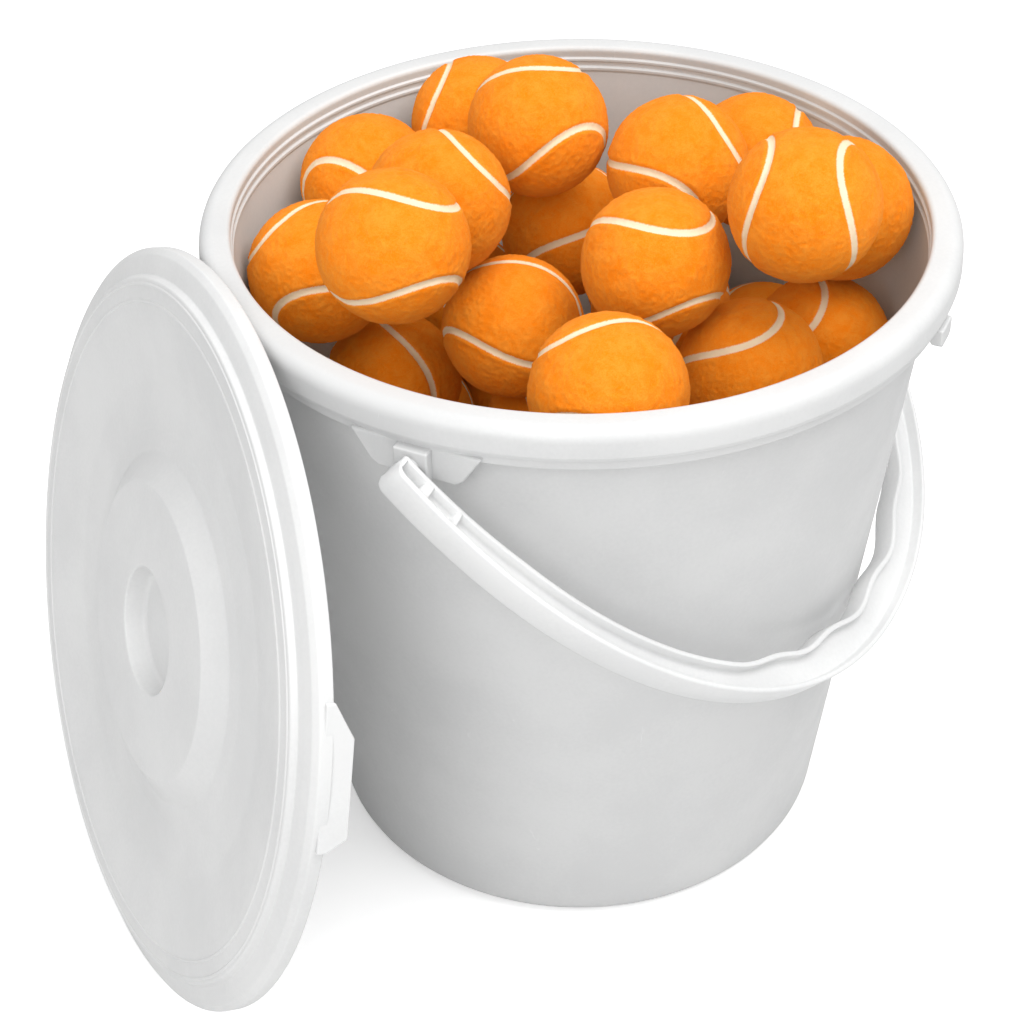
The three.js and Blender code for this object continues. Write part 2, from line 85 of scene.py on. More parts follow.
def rounded(corners, steps, longest):
    # each corner (x, y, radius) becomes an arc tangent to its two sides; long sides are cut up
    c = [np.array(p[:2], float) for p in corners]
    out = [c[0]]
    for i in range(1, len(c) - 1):
        radius = corners[i][2] if len(corners[i]) > 2 else 0
        before, after = unit(c[i - 1] - c[i]), unit(c[i + 1] - c[i])
        angle = math.acos(float(np.clip(before @ after, -1, 1)))
        if radius <= 0 or angle > math.pi - 0.02:
            out.append(c[i])
            continue
        reach = radius / math.tan(angle / 2)
        room = 0.49 * min(np.linalg.norm(c[i - 1] - c[i]), np.linalg.norm(c[i + 1] - c[i]))
        reach = min(reach, room)
        radius = reach * math.tan(angle / 2)
        middle = c[i] + unit(before + after) * radius / math.sin(angle / 2)
        start, end = c[i] + before * reach, c[i] + after * reach
        u, w = start - middle, end - middle
        sweep = math.pi - angle
        for k in range(steps + 1):
            t = k / steps
            blend = (math.sin((1 - t) * sweep) * u + math.sin(t * sweep) * w) / math.sin(sweep)
            out.append(middle + blend)
    out.append(c[-1])
    fine = [out[0]]
    for a, b in zip(out[:-1], out[1:]):
        count = max(1, int(np.linalg.norm(b - a) / longest))
        fine += [a + (b - a) * k / count for k in range(1, count + 1)]
    return np.array(fine)


def stripQuads(rows, columns, wrap):
    # quads of a rows x columns grid; wrap joins the last column to the first
    last = columns if wrap else columns - 1
    i, j = np.meshgrid(np.arange(rows - 1), np.arange(last), indexing="ij")
    i, j = i.ravel(), j.ravel()
    k = (j + 1) % columns
    return np.stack([i * columns + j, i * columns + k, (i + 1) * columns + k, (i + 1) * columns + j], 1)


def makePiece(name, points, quads, tris, material):
    # a closed surface, turned so that its signed volume is positive
    points = np.asarray(points, float) * mm
    q = np.asarray(quads, int).reshape(-1, 4)
    t = np.asarray(tris, int).reshape(-1, 3)
    every = np.concatenate([q[:, [0, 1, 2]], q[:, [0, 2, 3]], t])
    a, b, c = (points[every[:, k]] - points.mean(0) for k in range(3))
    if np.einsum("ij,ij->i", a, np.cross(b, c)).sum() < 0:
        q, t = q[:, ::-1], t[:, ::-1]
    mesh = bpy.data.meshes.new(name)
    mesh.from_pydata(points.tolist(), [], q.tolist() + t.tolist())
    mesh.shade_smooth()
    mesh.materials.append(material)
    piece = bpy.data.objects.new(name, mesh)
    bpy.context.scene.collection.objects.link(piece)
    return piece


def latheGrid(profile, segments):
    # (r, z) -> (r cos a, r sin a, z), with one vertex at each end where r = 0
    a = np.linspace(0, 2 * math.pi, segments, endpoint=False)
    inner = profile[1:-1]
    ring = np.stack([np.outer(inner[:, 0], np.cos(a)), np.outer(inner[:, 0], np.sin(a)),
                     np.repeat(inner[:, 1:2], segments, 1)], -1).reshape(-1, 3)
    points = np.concatenate([ring, [[0, 0, profile[0, 1]], [0, 0, profile[-1, 1]]]])
    quads = stripQuads(len(inner), segments, True)
    j = np.arange(segments)
    k = (j + 1) % segments
    low, high = len(ring), len(ring) + 1
    top = (len(inner) - 1) * segments
    fans = np.concatenate([np.stack([np.full(segments, low), k, j], 1),
                           np.stack([np.full(segments, high), top + j, top + k], 1)])
    return points, quads, fans


def prism(outline, low, high):
    # an outline (y, z) carried along x from low to high; prismPiece closes its ends
    n = len(outline)
    o = np.array(outline, float)
    points = np.concatenate([np.column_stack([np.full(n, x), o]) for x in (low, high)])
    j = np.arange(n)
    k = (j + 1) % n
    quads = np.stack([j, k, n + k, n + j], 1)
    return points, quads


def prismPiece(name, points, quads, material, bevel):
    # closes a prism with its two end faces and rounds its edges
    n = len(points) // 2
    mesh = bpy.data.meshes.new(name)
    faces = quads.tolist() + [list(range(n))[::-1], list(range(n, 2 * n))]
    mesh.from_pydata((points * mm).tolist(), [], faces)
    mesh.materials.append(material)
    piece = bpy.data.objects.new(name, mesh)
    bpy.context.scene.collection.objects.link(piece)
    work = bmesh.new()
    work.from_mesh(mesh)
    bmesh.ops.recalc_face_normals(work, faces=work.faces)
    work.to_mesh(mesh)
    work.free()
    mesh.shade_smooth()
    edge = piece.modifiers.new("softEdges", "BEVEL")
    edge.width = bevel * mm
    edge.segments = 4
    edge.harden_normals = True
    return piece


def placed(points, origin, x, y, z):
    # origin + px x + py y + pz z
    return origin + points[:, :1] * x + points[:, 1:2] * y + points[:, 2:3] * z


def ride(piece, body, slot, *nodes):
    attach(piece, body)
    if nodes:
        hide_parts(*nodes)
    return piece


def nodeGroup(name, inputs, outputs):
    # an empty shader group with float inputs and outputs
    group = bpy.data.node_groups.new(name, "ShaderNodeTree")
    for label, value in inputs.items():
        socket = group.interface.new_socket(name=label, in_out="INPUT", socket_type="NodeSocketFloat")
        socket.default_value = value
    for label in outputs:
        group.interface.new_socket(name=label, in_out="OUTPUT", socket_type="NodeSocketFloat")
    return group, group.nodes.new("NodeGroupInput"), group.nodes.new("NodeGroupOutput")


def addNoise(tree, coordinates, scale, detail=2.0, roughness=0.5, distortion=0.0, stretch=None):
    noise = tree.nodes.new("ShaderNodeTexNoise")
    noise.inputs["Scale"].default_value = scale
    noise.inputs["Detail"].default_value = detail
    noise.inputs["Roughness"].default_value = roughness
    noise.inputs["Distortion"].default_value = distortion
    source = coordinates
    if stretch:
        mapping = tree.nodes.new("ShaderNodeMapping")
        mapping.inputs["Scale"].default_value = stretch
        tree.links.new(coordinates, mapping.inputs["Vector"])
        source = mapping.outputs["Vector"]
    tree.links.new(source, noise.inputs["Vector"])
    return noise.outputs["Fac"]


def addMath(tree, operation, first, second, third=None):
    node = tree.nodes.new("ShaderNodeMath")
    node.operation = operation
    for index, value in enumerate((first, second, third)):
        if value is None:
            continue
        if isinstance(value, (int, float)):
            node.inputs[index].default_value = value
        else:
            tree.links.new(value, node.inputs[index])
    return node.outputs[0]


def addRange(tree, value, low, high, toLow, toHigh):
    node = tree.nodes.new("ShaderNodeMapRange")
    node.interpolation_type = "SMOOTHSTEP"
    for label, number in zip(("From Min", "From Max", "To Min", "To Max"), (low, high, toLow, toHigh)):
        node.inputs[label].default_value = number
    tree.links.new(value, node.inputs["Value"])
    return node.outputs[0]


def addMix(tree, factor, first, second):
    node = tree.nodes.new("ShaderNodeMix")
    node.data_type = "RGBA"
    for label, value in (("A", first), ("B", second)):
        socket = [s for s in node.inputs if s.name == label and s.type == "RGBA"][0]
        if isinstance(value, tuple):
            socket.default_value = (*value, 1)
        else:
            tree.links.new(value, socket)
    tree.links.new(factor, node.inputs["Factor"])
    return [s for s in node.outputs if s.type == "RGBA"][0]


def addBump(tree, height, distance, strength):
    node = tree.nodes.new("ShaderNodeBump")
    node.inputs["Distance"].default_value = distance
    node.inputs["Strength"].default_value = strength
    tree.links.new(height, node.inputs["Height"])
    return node.outputs["Normal"]


def mouldedGrainGroup():
    # cloudy tone, satin patches and a fine orange-peel height of injection-moulded plastic
    group, start, end = nodeGroup("mouldedGrain", {"Peel": 1.0}, ("Tone", "Patch", "Height"))
    place = group.nodes.new("ShaderNodeTexCoord").outputs["Object"]
    cloud = addNoise(group, place, 14, 3, 0.55)
    speck = addNoise(group, place, 520, 2, 0.6)
    tone = addMath(group, "MULTIPLY_ADD", speck, 0.25, addMath(group, "MULTIPLY", cloud, 0.75))
    patch = addNoise(group, place, 60, 4, 0.6, 0.4)
    fine = addNoise(group, place, 900, 2, 0.5)
    broad = addNoise(group, place, 130, 2, 0.5)
    height = addMath(group, "MULTIPLY_ADD", fine, start.outputs["Peel"],
                     addMath(group, "MULTIPLY", broad, 1.6))
    for label, value in (("Tone", tone), ("Patch", patch), ("Height", height)):
        group.links.new(value, end.inputs[label])
    return group


def feltNapGroup():
    # tufts, swirled fibres and their height
    group, start, end = nodeGroup("feltNap", {"Fibre": 1.0}, ("Tuft", "Strand", "Height"))
    place = group.nodes.new("ShaderNodeTexCoord").outputs["Object"]
    tuft = addNoise(group, place, 150, 4, 0.62, 0.3)
    strand = addNoise(group, place, 1100, 5, 0.7, 2.2, (1, 1, 0.45))
    cross = addNoise(group, place, 1400, 4, 0.65, 1.6, (0.5, 1, 1))
    both = addMath(group, "MULTIPLY_ADD", cross, 0.5, addMath(group, "MULTIPLY", strand, 0.5))
    height = addMath(group, "MULTIPLY_ADD", both, start.outputs["Fibre"],
                     addMath(group, "MULTIPLY", tuft, 1.2))
    for label, value in (("Tuft", tuft), ("Strand", both), ("Height", height)):
        group.links.new(value, end.inputs[label])
    return group


mouldedGrain = mouldedGrainGroup()
feltNap = feltNapGroup()


def newMaterial(name, **constants):
    # a Principled material with its constant sockets set
    material = bpy.data.materials.new(name)
    material.use_nodes = True
    tree = material.node_tree
    shader = tree.nodes["Principled BSDF"]
    for label, value in constants.items():
        shader.inputs[label.replace("_", " ")].default_value = value
    return material, tree, shader


def placeGroup(tree, group, **values):
    node = tree.nodes.new("ShaderNodeGroup")
    node.node_tree = group
    for label, value in values.items():
        node.inputs[label].default_value = value
    return node


# peelDepth is in metres
# tub, handle and lid scale one milky white to three brightnesses: painted light and shade for each part, the
# handle lightest and the tub darkest
plasticLook = {"light": (1.0, 1.003, 1.0), "shade": (0.93, 0.934, 0.934), "roughness": (0.36, 0.50),
               "scatter": 0.12, "peelDepth": 0.00004, "tub": 0.67, "handle": 0.78, "lid": 0.72}


def milkyPlastic(name, whitenessAndPaintedLight, peel=1.0, scuffed=False):
    look = plasticLook
    # the part's factor is the plastic's own white plus painted light or painted shade
    light, shade = (tuple(whitenessAndPaintedLight * c for c in look[k]) for k in ("light", "shade"))
    material, tree, shader = newMaterial(name, Subsurface_Weight=look["scatter"], Subsurface_Scale=0.004,
                                         Subsurface_Radius=(1.0, 0.95, 0.9), IOR=1.49)
    grain = placeGroup(tree, mouldedGrain, Peel=peel)
    colour = addMix(tree, addRange(tree, grain.outputs["Tone"], 0.35, 0.65, 0, 1), shade, light)
    rough = addRange(tree, grain.outputs["Patch"], 0.3, 0.7, *look["roughness"])
    if scuffed:
        place = tree.nodes.new("ShaderNodeTexCoord").outputs["Object"]
        streak = addNoise(tree, place, 95, 5, 0.75, 0.8, (1, 1, 0.35))
        rub = addRange(tree, streak, 0.66, 0.74, 0, 0.35)
        colour = addMix(tree, rub, colour, (0.86, 0.86, 0.86))
        rough = addMath(tree, "MULTIPLY_ADD", rub, 0.3, rough)
    tree.links.new(colour, shader.inputs["Base Color"])
    tree.links.new(rough, shader.inputs["Roughness"])
    tree.links.new(addBump(tree, grain.outputs["Height"], look["peelDepth"], 0.5), shader.inputs["Normal"])
    return material


# seamHalfWidth is in millimetres, like the seamDistance attribute, and napDepth in metres
feltLook = {"light": (1.0, 0.325, 0.030), "deep": (1.0, 0.235, 0.003), "seam": (1.0, 0.84, 0.62),
            "bounce": (0.85, 0.53, 0.30), "seamHalfWidth": 1.6, "napDepth": 0.0011}


def orangeFelt():
    look = feltLook
    material, tree, shader = newMaterial("orangeFelt", Roughness=0.92, Sheen_Weight=0.2, Sheen_Roughness=0.45,
                                         Specular_IOR_Level=0.08)
    shader.inputs["Sheen Tint"].default_value = (1.0, 0.52, 0.16, 1)
    nap = placeGroup(tree, feltNap, Fibre=1.0)
    tone = addMath(tree, "MULTIPLY_ADD", nap.outputs["Tuft"], 0.3,
                   addMath(tree, "MULTIPLY", nap.outputs["Strand"], 0.7))
    felt = addMix(tree, addRange(tree, tone, 0.40, 0.60, 0, 1), look["deep"], look["light"])
    distance = tree.nodes.new("ShaderNodeAttribute")
    distance.attribute_name = "seamDistance"
    frayed = addMath(tree, "MULTIPLY_ADD", nap.outputs["Strand"], 2.4,
                     addMath(tree, "SUBTRACT", distance.outputs["Fac"], 1.2))
    edge = look["seamHalfWidth"]
    covered = addRange(tree, frayed, edge - 0.30, edge + 0.35, 0, 1)
    cream = addMix(tree, nap.outputs["Tuft"], (0.96, 0.74, 0.50), look["seam"])
    bounced = tree.nodes.new("ShaderNodeLightPath").outputs["Is Diffuse Ray"]
    shown = addMix(tree, bounced, addMix(tree, covered, cream, felt), look["bounce"])
    tree.links.new(shown, shader.inputs["Base Color"])
    tree.links.new(addBump(tree, nap.outputs["Height"], look["napDepth"], 0.7), shader.inputs["Normal"])
    return material


def bareRubber():
    material, tree, shader = newMaterial("bareRubber", Roughness=0.7)
    grain = placeGroup(tree, mouldedGrain, Peel=1.5)
    colour = addMix(tree, grain.outputs["Tone"], (0.42, 0.13, 0.04), (0.55, 0.19, 0.06))
    tree.links.new(colour, shader.inputs["Base Color"])
    tree.links.new(addBump(tree, grain.outputs["Height"], 0.0001, 0.6), shader.inputs["Normal"])
    return material


# one plastic in three brightnesses: painted light and shade per part
tubPlastic = milkyPlastic("tubPlastic", plasticLook["tub"], 1.0, True)
handlePlastic = milkyPlastic("handlePlastic", plasticLook["handle"], 0.8)
lidPlastic = milkyPlastic("lidPlastic", plasticLook["lid"], 1.2)
felt = orangeFelt()
rubber = bareRubber()
print("materials ready")


tub = {"height": 323.0, "rim": 167.0, "base": 121.0, "bodyTop": 156.0, "lipBottom": 303.0, "wall": 2.6,
       "foot": 1.5, "footInner": 103.0, "footEdge": 104.6, "cornerRadius": 19.0, "bandHeight": 15.0,
       "segments": 288}


def bodyRadius(z):
    # straight taper from the base to the lip
    return tub["base"] + (tub["bodyTop"] - tub["base"]) * z / tub["lipBottom"]


def tubProfile():
    # from the base's centre up the outside to the rim, then down the inside to the floor
    rim, top, lip, wall = tub["rim"], tub["height"], tub["lipBottom"], tub["wall"]
    band = top - tub["bandHeight"]
    inner = tub["bodyTop"] - wall
    floor = tub["foot"] + wall
    corners = [
        (0, tub["foot"]), (tub["footInner"], tub["foot"], 1), (tub["footEdge"], 0, 0.8),
        (bodyRadius(0) + 0.3, 0, tub["cornerRadius"]),
        (bodyRadius(lip + 4), lip + 4, 1.5), (rim - 6, lip + 4, 0.8), (rim - 5.4, lip, 0.9),
        (rim - 2.9, lip, 0.9), (rim - 2.2, band + 0.4, 0.7), (rim - 0.6, band + 0.6, 0.6),
        (rim + 0.05, band + 2.6, 1.6),
        (rim - 0.5, top, 7.2), (inner - 1.0, top, 5.4), (inner - 0.2, top - 5.4, 0.5),
        (inner - 1.1, top - 6.2, 0.35), (inner - 1.1, top - 7.4, 0.35), (inner - 0.2, top - 8.0, 0.5),
        (inner - 0.3, top - 10.0, 0.5), (inner - 1.3, top - 10.8, 0.35), (inner - 1.3, top - 12.0, 0.35),
        (inner - 0.7, top - 13.2, 0.8), (bodyRadius(floor) - wall, floor, tub["cornerRadius"] - 2),
        (0, floor)]
    return rounded(corners, 7, 8)


points, quads, fans = latheGrid(tubProfile(), tub["segments"])
tubPiece = makePiece("bucketTub", points, quads, fans, tubPlastic)
ride(tubPiece, "bucket", "white_plastic", "bucket")

pivot = np.array(joints["handle_swing"]["pos_m"]) / mm
across = unit(joints["handle_swing"]["axis"])
up = np.array([0.0, 0.0, 1.0])
level = np.cross(up, across)

ear = {"topWidth": 58.0, "bottomWidth": 38.0, "bottom": 290.0, "face": 164.2,
       "pad": 15.0, "padFace": 168.8, "softness": 1.3}


def makeEar(name, outwards):
    # a block that narrows downwards under the rim, with a square pad on its face round the pin
    top, low = tub["lipBottom"] + 3, ear["bottom"]
    half, foot = ear["topWidth"] / 2, ear["bottomWidth"] / 2
    outline = [(-half, top), (-foot - 1.5, low + 2.5), (-foot + 2, low), (foot - 2, low),
               (foot + 1.5, low + 2.5), (half, top)]
    side = np.cross(up, outwards)
    root = bodyRadius(low) - tub["wall"] * 0.5
    points, quads = prism(outline, root, ear["face"])
    block = prismPiece(name, placed(points, np.zeros(3), outwards, side, up), quads, tubPlastic,
                       ear["softness"])
    ride(block, "bucket", "white_plastic")
    p, z = ear["pad"] / 2, pivot[2]
    points, quads = prism([(-p, z - p), (p, z - p), (p, z + p), (-p, z + p)], ear["face"] - 4, ear["padFace"])
    pad = prismPiece(name + "Pad", placed(points, np.zeros(3), outwards, side, up), quads, tubPlastic, 0.9)
    ride(pad, "bucket", "white_plastic")


makeEar("earFront", across)
makeEar("earBack", -across)

lug = {"width": 14.0, "low": 297.0, "inner": 162.4, "outer": 167.6}
for name, outwards in (("rimLugRight", level), ("rimLugLeft", -level)):
    w, low, top = lug["width"] / 2, lug["low"], tub["lipBottom"] + 3
    outline = [(-w, low + 2), (-w + 2, low), (w - 2, low), (w, low + 2), (w, top), (-w, top)]
    points, quads = prism(outline, lug["inner"], lug["outer"])
    piece = prismPiece(name, placed(points, np.zeros(3), outwards, np.cross(up, outwards), up), quads,
                       tubPlastic, 0.8)
    ride(piece, "bucket", "white_plastic")
print("bucket ready")


bow = {"halfWidth": 183.0, "reach": 220.0, "bend": 0.95, "hang": 44.2, "endDepth": 11.6, "depth": 14.0,
       "height": 15.0, "wall": 2.4, "grip": 4.0, "waves": 4, "waveDepth": 1.6, "stations": 420, "end": 5.0,
       "gripShare": 0.42, "gripBlend": 0.16, "waveShare": 0.34, "ribZone": 34.0, "ribStations": 60}


def bowDepth(share):
    # band depth along the bow: end depth, then the band, then the grip with its finger waves
    away = np.abs(share - 0.5) * 2
    grip = smoothStep(bow["gripShare"] - away, 0, bow["gripBlend"])
    wave = np.cos((share - 0.5) * 2 * math.pi * bow["waves"] / bow["waveShare"])
    body = bow["endDepth"] + (bow["depth"] - bow["endDepth"]) * np.minimum(1, (1 - away) * 5)
    return body + grip * (bow["grip"] + bow["waveDepth"] * wave)


def bowSection(depth, floor, squeeze):
    # channel section, outer wall to inner wall, one row per station: (depth from outer edge, height)
    h, w = bow["height"] / 2 * squeeze, bow["wall"]
    low = h - 1.4
    one = np.ones_like(depth)
    bed = np.minimum(floor, low)
    loop = [(0 * one, h - 1.0), (0.3 * one, h - 0.3), (1.0 * one, h), (w - 0.8 * one, h),
            (w - 0.2 * one, h - 0.25), (w * one, h - 0.8), (w + 0.1 * one, bed + 0.9),
            (w + 0.35 * one, bed + 0.3), (w + 1.0 * one, bed), (depth - w - 1.0, bed),
            (depth - w - 0.35, bed + 0.3), (depth - w - 0.1, np.minimum(bed + 0.9, low)),
            (depth - w, low - 0.2), (depth - w + 0.3, low), (depth - 0.9, low), (depth - 0.25, low - 0.3),
            (depth, low - 1.0)]
    under = [(x, -y) for x, y in loop[::-1]]
    under = [(x, np.where(np.abs(y) < h * 0.75, np.minimum(y, -1.2 * one), y)) for x, y in under]
    both = loop + under
    return np.stack([np.stack([x * one, y * one], -1) for x, y in both], 1)


def makeBow():
    # the channel section carried along (halfWidth cos^bend t, reach sin^bend t), with a straight tail
    # at each end; the stations crowd together in the ribbed zones near the pins
    n, zone, ribbed = bow["stations"], bow["ribZone"], bow["ribStations"]
    turn = np.linspace(0, math.pi, n)
    x = np.sign(np.cos(turn)) * np.abs(np.cos(turn)) ** bow["bend"] * bow["halfWidth"]
    y = np.abs(np.sin(turn)) ** bow["bend"] * bow["reach"]
    path = np.stack([x, y], 1)
    tail = np.linspace(-bow["end"], -0.4, 9)
    path = np.concatenate([np.stack([np.full(9, bow["halfWidth"]), tail], 1), path,
                           np.stack([np.full(9, -bow["halfWidth"]), tail[::-1]], 1)])
    step = np.linalg.norm(np.diff(path, axis=0), axis=1)
    length = np.concatenate([[0], np.cumsum(step)])
    even = np.concatenate([np.linspace(0, zone, ribbed), np.linspace(zone, length[-1] - zone, n)[1:-1],
                           np.linspace(length[-1] - zone, length[-1], ribbed)])
    path = np.stack([np.interp(even, length, path[:, 0]), np.interp(even, length, path[:, 1])], 1)
    along = np.gradient(path, axis=0)
    along /= np.linalg.norm(along, axis=1)[:, None]
    inward = np.stack([-along[:, 1], along[:, 0]], 1)
    share = np.clip((even - bow["end"]) / (length[-1] - 2 * bow["end"]), 0, 1)
    depth = bowDepth(share)
    fromEnd = np.minimum(even, length[-1] - even)
    h = bow["height"] / 2
    web = np.full(len(even), bow["wall"] / 2)
    pocket = smoothStep(fromEnd, 1.8, 2.4) * (1 - smoothStep(fromEnd, 13.4, 14.0))
    endRib = 1 - smoothStep(fromEnd, 1.6, 2.2)
    firstRib = smoothStep(fromEnd, 13.4, 14.0) * (1 - smoothStep(fromEnd, 17.4, 18))
    secondRib = smoothStep(fromEnd, 31.0, 31.6) * (1 - smoothStep(fromEnd, 33.4, 34))
    floor = web * (1 - pocket) + pocket * (-h + 6) + np.clip(endRib + firstRib + secondRib * 0.7, 0, 1) * h
    squeeze = 1 - 0.12 * (1 - smoothStep(fromEnd, 0, 1.2))
    section = bowSection(depth, floor, squeeze)
    corner = bow["end"] - np.sqrt(np.maximum(bow["end"] ** 2 - np.maximum(bow["end"] - fromEnd, 0) ** 2, 0.2))
    start = corner / np.maximum(depth, 1)
    section[:, :, 0] = section[:, :, 0] * (1 - start[:, None]) + corner[:, None]
    flat = path[:, None, :] + inward[:, None, :] * section[:, :, :1]
    points = np.concatenate([flat, section[:, :, 1:]], -1)
    rows, columns = points.shape[:2]
    quads = stripQuads(rows, columns, True)
    points = points.reshape(-1, 3)
    ends = [list(range(columns)), list(range((rows - 1) * columns, rows * columns))]
    centres = np.array([points[e].mean(0) for e in ends])
    j = np.arange(columns)
    k = (j + 1) % columns
    tris = np.concatenate([np.stack([np.full(columns, len(points)), k, j], 1),
                           np.stack([np.full(columns, len(points) + 1), (rows - 1) * columns + j,
                                     (rows - 1) * columns + k], 1)])
    points = np.concatenate([points, centres])
    hang = math.radians(bow["hang"])
    out = level * math.cos(hang) - up * math.sin(hang)
    return placed(points, pivot, across, out, np.cross(across, out)), quads, tris


points, quads, tris = makeBow()
bowPiece = makePiece("handleBow", points, quads, tris, handlePlastic)
ride(bowPiece, "handle", "white_plastic", "handle")

pin = {"radius": 4.0, "outer": 172.5, "inner": 159.5}
for name, outwards in (("pinFront", across), ("pinBack", -across)):
    r, inner, outer = pin["radius"], pin["inner"], pin["outer"]
    profile = rounded([(0, inner), (r, inner, 0.8), (r, outer, 0.2), (0, outer)], 5, 3)
    points, quads, fans = latheGrid(profile, 32)
    side = np.cross(up, outwards)
    piece = makePiece(name, placed(points, pivot * [0, 0, 1], side, up, outwards), quads, fans, handlePlastic)
    ride(piece, "handle", "white_plastic")
print("handle ready")


cover = {"radius": 170.0, "lean": 14.5, "wall": 2.4, "footHeight": 5.0, "segments": 360,
         "ringOuter": 157.5, "ringInner": 137.5, "top": 13.0, "face": 6.0, "boss": 68.0, "bossTop": 15.5,
         "dimple": 29.0, "dimpleFloor": 5.5}
lean = math.radians(cover["lean"])
lidNormal = np.array([-math.cos(lean), 0, math.sin(lean)])
lidSide = np.array([0.0, -1.0, 0.0])
lidRise = np.cross(lidNormal, lidSide)
lidFoot = np.array(joints["lid_tip"]["pos_m"]) / mm
lidCentre = lidFoot + lidRise * cover["radius"] - lidNormal * cover["footHeight"]


def lidProfile():
    # from the dimple's centre out over the face to the skirt's edge, then back along the inside
    r, outer, inner, t = cover["radius"], cover["ringOuter"], cover["ringInner"], cover["wall"]
    top, face, boss, bossTop = cover["top"], cover["face"], cover["boss"], cover["bossTop"]
    dimple, floor = cover["dimple"], cover["dimpleFloor"]
    middle = [
        (0, floor), (dimple - 2.0, floor, 3.0), (dimple, bossTop, 1.2), (boss - 0.6, bossTop, 2.6),
        (boss + 12, face + 1.4, 5), (boss + 22, face + 0.6, 8), (inner - 26, face + 1.2, 20),
        (inner + 5, top - 0.3, 16)]
    ridges = [
        (outer - 11.5, top, 0.3), (outer - 11, top + 0.5, 0.3), (outer - 10.3, top + 0.5, 0.3),
        (outer - 9.8, top, 0.3), (outer - 3.9, top, 0.3), (outer - 3.4, top + 0.5, 0.3),
        (outer - 2.7, top + 0.5, 0.3), (outer - 2.2, top, 0.3)]
    skirt = [
        (outer - 0.5, top, 1.6), (outer + 0.9, top - 2.9, 0.9), (outer + 5, top - 3.7, 2),
        (r - 3, top - 4.9, 3), (r, top - 7.2, 1.6), (r + 0.1, 0, 0.9), (r - t, 0, 0.9),
        (r - t, top - 9.4, 1.2), (outer + 2, top - 6.4, 1.5)]
    inside = [
        (outer - 1.6, top - t, 1.5), (inner + 4, top - t, 9), (inner - 26, face + 1.2 - t, 12),
        (boss + 20, face + 0.6 - t, 5), (boss + 10, face + 1.4 - t, 4), (boss - 2.8, bossTop - t, 2),
        (dimple + t, bossTop - t, 1.5), (dimple - 2 + t, floor - t, 1), (0, floor - t)]
    return rounded(middle + ridges + skirt + inside, 6, 6)


points, quads, fans = latheGrid(lidProfile(), cover["segments"])
lidPiece = makePiece("lidCover", placed(points, lidCentre, lidSide, lidRise, lidNormal), quads, fans,
                     lidPlastic)
ride(lidPiece, "lid", "white_plastic", "lid")

tab = {"clock": 16.0, "width": 64.0, "depth": 9.0, "root": 2.4}


def makeTab():
    # a flat tongue on the skirt, clock degrees round from lidSide towards lidRise
    w, d = tab["width"] / 2, tab["depth"]
    a = math.radians(tab["clock"])
    outwards = lidSide * math.cos(a) + lidRise * math.sin(a)
    side = np.cross(lidNormal, outwards)
    outline = [(-w, 4), (-w, 0), (-w + 5, -d), (w - 16, -d), (w, 0), (w, 4)]
    points, quads = prism(outline, cover["radius"] - tab["root"] - 1, cover["radius"] - 1)
    return placed(points, lidCentre, outwards, side, lidNormal), quads


points, quads = makeTab()
ride(prismPiece("lidTab", points, quads, lidPlastic, 0.8), "lid", "white_plastic")
print("lid ready")


ball = {"cells": 80, "seamA": 0.72, "seamB": 0.28, "grooveDepth": 0.75, "grooveWidth": 1.7, "lump": 0.22,
        "tuft": 0.24, "buriedCells": 14, "glue": 0.1,
        "radius": 33.0, "seamPoints": 700, "buriedGroove": 0.5, "buriedGrooveWidth": 2, "buriedInset": 0.4}
seamTurns = {  # degrees about X, then Y, then Z
    "front": (167, -68, 9), "middle_front": (116, 31, -147), "left_high": (-109, -17, 41),
    "back": (-132, -10, 49), "right_high": (11, 8, -81), "back_right_low": (-105, 17, 4),
    "middle_back": (-127, -59, 112), "middle_low": (25, 69, 172), "left_low": (-9, 55, 100),
    "left": (-134, 72, -121), "back_left_high": (-3, -5, 98), "left_back_high": (140, -43, 19),
    "back_left_low": (-132, 11, -10), "back_right": (-139, 34, -51), "right_back": (-155, -56, -120),
    "right_low": (-178, 52, -98), "front_right": (145, 39, -118)}


def cubeSphere(cells):
    # six grids of tan-spaced directions, welded along the cube's edges and scaled to length 1
    t = np.tan(np.linspace(-1, 1, cells + 1) * math.pi / 4)
    u, v = np.meshgrid(t, t, indexing="ij")
    u, v, one = u.ravel(), v.ravel(), np.ones(u.size)
    faces = [(one, u, v), (-one, v, u), (v, one, u), (u, -one, v), (u, v, one), (v, u, -one)]
    points = np.concatenate([np.stack(f, 1) for f in faces])
    quads = np.concatenate([stripQuads(cells + 1, cells + 1, False) + k * (cells + 1) ** 2 for k in range(6)])
    _, first, back = np.unique(np.round(points, 5), axis=0, return_index=True, return_inverse=True)
    points = points[first]
    points /= np.linalg.norm(points, axis=1)[:, None]
    return points, back.reshape(-1)[quads]


def seamCurve(count):
    # (a cos t + b cos 3t, a sin t - b sin 3t, 2 sqrt(ab) sin 2t), scaled to length 1
    a, b = ball["seamA"], ball["seamB"]
    t = np.linspace(0, 2 * math.pi, count, endpoint=False)
    p = np.stack([a * np.cos(t) + b * np.cos(3 * t), a * np.sin(t) - b * np.sin(3 * t),
                  2 * math.sqrt(a * b) * np.sin(2 * t)], 1)
    return p / np.linalg.norm(p, axis=1)[:, None]


def turnMatrix(degreesXYZ):
    # turns about X, then Y, then Z
    x, y, z = (math.radians(v) for v in degreesXYZ)
    return np.array(Matrix.Rotation(z, 3, "Z") @ Matrix.Rotation(y, 3, "Y") @ Matrix.Rotation(x, 3, "X"))


def seamDistanceOf(directions, radius):
    # shortest arc from each direction to the seam, in millimetres
    nearest = (directions @ seamCurve(ball["seamPoints"]).T).max(1)
    return np.arccos(np.clip(nearest, -1, 1)) * radius


